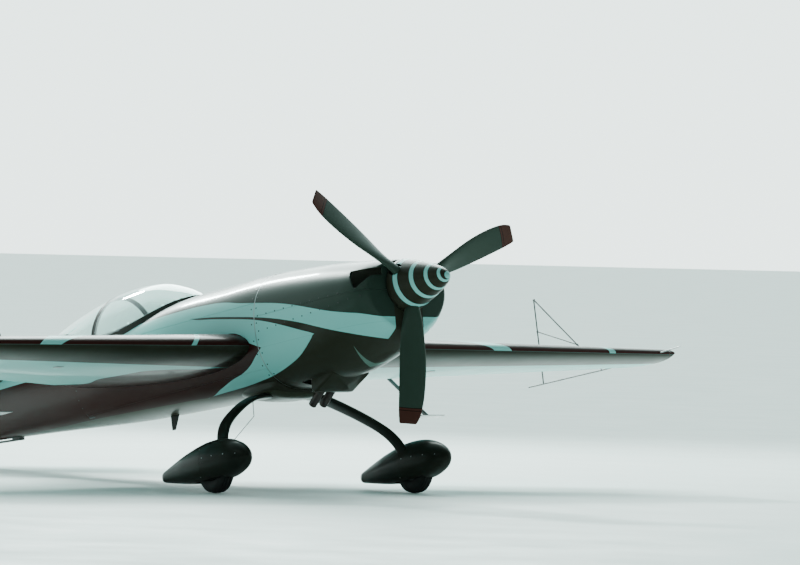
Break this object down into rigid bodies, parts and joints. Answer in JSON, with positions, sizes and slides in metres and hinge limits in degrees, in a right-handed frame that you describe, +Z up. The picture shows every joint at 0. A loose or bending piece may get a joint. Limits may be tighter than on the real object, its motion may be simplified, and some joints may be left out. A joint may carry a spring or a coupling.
{
  "type": "single-seat aerobatic monoplane with tail wheel",
  "caption": "Low-wing aerobatic monoplane parked on its gear: turning propeller and wheels, hinged canopy, ailerons, elevator, rudder and tail wheel.",
  "frame": {"origin": "on the ground, midway between the spinner tip and the rudder's trailing edge, on the centre plane", "axes": "+X to the nose, +Y to the left wing tip, +Z up; the aircraft stands nose-up as it parks on its tail wheel"},
  "size_m": [6.7154, 7.5, 2.165],
  "materials": {
    "paint_dark": "glossy black enamel on composite",
    "paint_maroon": "glossy dark maroon enamel on composite",
    "paint_pale": "glossy pale blue-grey enamel on composite",
    "blade_paint": "satin charcoal paint on composite blades",
    "carbon": "satin black carbon laminate",
    "canopy_glass": "clear moulded acrylic, slightly tinted",
    "black_plastic": "semi-matt black paint",
    "seat_cloth": "dark woven seat covering",
    "engine_alloy": "cast aluminium, satin",
    "bare_metal": "plated steel with light wear",
    "exhaust_steel": "heat-darkened steel pipe",
    "tyre": "black rubber, dusty tread"
  },
  "bodies": {
    "root": {"cowl_upper": "paint_dark", "cowl_lower": "paint_dark", "engine": "engine_alloy", "firewall": "bare_metal", "exhaust_left": "exhaust_steel", "exhaust_right": "exhaust_steel", "deck_forward": "paint_pale", "deck_rear": "paint_pale", "side_panel_left": "paint_maroon", "side_panel_right": "paint_maroon", "belly_panel": "paint_pale", "tail_cone": "paint_maroon", "wing_left": "paint_maroon", "wing_right": "paint_maroon", "wing_spar": "carbon", "stabilizer_left": "paint_maroon", "stabilizer_right": "paint_maroon", "fin": "paint_maroon", "rear_window": "canopy_glass", "cockpit_floor": "carbon", "instrument_panel": "carbon", "seat": "seat_cloth", "control_stick": "black_plastic", "gear_spring": "carbon", "wheel_fairing_left": "paint_dark", "wheel_fairing_right": "paint_dark", "axle_left": "bare_metal", "axle_right": "bare_metal", "blade_antenna": "black_plastic", "whip_antenna": "bare_metal", "sighting_frame": "black_plastic", "pitot_tube": "bare_metal", "tail_spring": "carbon"},
    "propeller": {"spinner": "paint_dark", "spinner_backplate": "bare_metal", "propeller_blade_1": "blade_paint", "propeller_blade_2": "blade_paint", "propeller_blade_3": "blade_paint"},
    "wheel_left": {"tyre_left": "tyre", "wheel_rim_left": "engine_alloy"},
    "wheel_right": {"tyre_right": "tyre", "wheel_rim_right": "engine_alloy"},
    "tail_swivel": {"tail_fork": "bare_metal"},
    "tail_wheel": {"tail_wheel": "tyre"},
    "aileron_left": {"aileron_left": "paint_maroon"},
    "aileron_right": {"aileron_right": "paint_maroon"},
    "elevator": {"elevator": "paint_maroon"},
    "rudder": {"rudder": "paint_pale"},
    "canopy": {"canopy_frame": "carbon", "canopy_glass": "canopy_glass"}
  },
  "joints": [
    {"name": "propeller_spin", "type": "hinge", "parent": "root", "child": "propeller", "pos_m": [2.93461, 0, 1.52004], "axis": [0.9839, 0, 0.179], "continuous": true},
    {"name": "wheel_left_spin", "type": "hinge", "parent": "root", "child": "wheel_left", "pos_m": [1.85467, 0.879, 0.175], "axis": [0, 1, 0], "continuous": true},
    {"name": "wheel_right_spin", "type": "hinge", "parent": "root", "child": "wheel_right", "pos_m": [1.85467, -0.879, 0.175], "axis": [0, 1, 0], "continuous": true},
    {"name": "tail_steer", "type": "hinge", "parent": "root", "child": "tail_swivel", "pos_m": [-2.47733, 0, 0.146], "axis": [0, 0, 1], "range_deg": [-40, 40]},
    {"name": "tail_wheel_spin", "type": "hinge", "parent": "tail_swivel", "child": "tail_wheel", "pos_m": [-2.54233, 0, 0.065], "axis": [0, 1, 0], "continuous": true},
    {"name": "aileron_left_hinge", "type": "hinge", "parent": "root", "child": "aileron_left", "pos_m": [-0.19656, 0.7, 0.73761], "axis": [0.272, 0.9606, 0.0573], "range_deg": [-28, 28]},
    {"name": "aileron_right_hinge", "type": "hinge", "parent": "root", "child": "aileron_right", "pos_m": [-0.19656, -0.7, 0.73761], "axis": [-0.272, 0.9606, -0.0573], "range_deg": [-28, 28]},
    {"name": "elevator_hinge", "type": "hinge", "parent": "root", "child": "elevator", "pos_m": [-2.56782, 0, 0.59024], "axis": [0, 1, 0], "range_deg": [-28, 28]},
    {"name": "rudder_hinge", "type": "hinge", "parent": "root", "child": "rudder", "pos_m": [-2.77666, 0, 0.4811], "axis": [-0.179, 0, 0.9839], "range_deg": [-30, 30]},
    {"name": "canopy_hinge", "type": "hinge", "parent": "root", "child": "canopy", "pos_m": [-0.09799, -0.313, 1.03749], "axis": [0.9839, 0, 0.179], "range_deg": [0, 80]}
  ],
  "couplings": [
    {"joint": "aileron_right_hinge", "follows": "aileron_left_hinge", "ratio": -1}
  ]
}
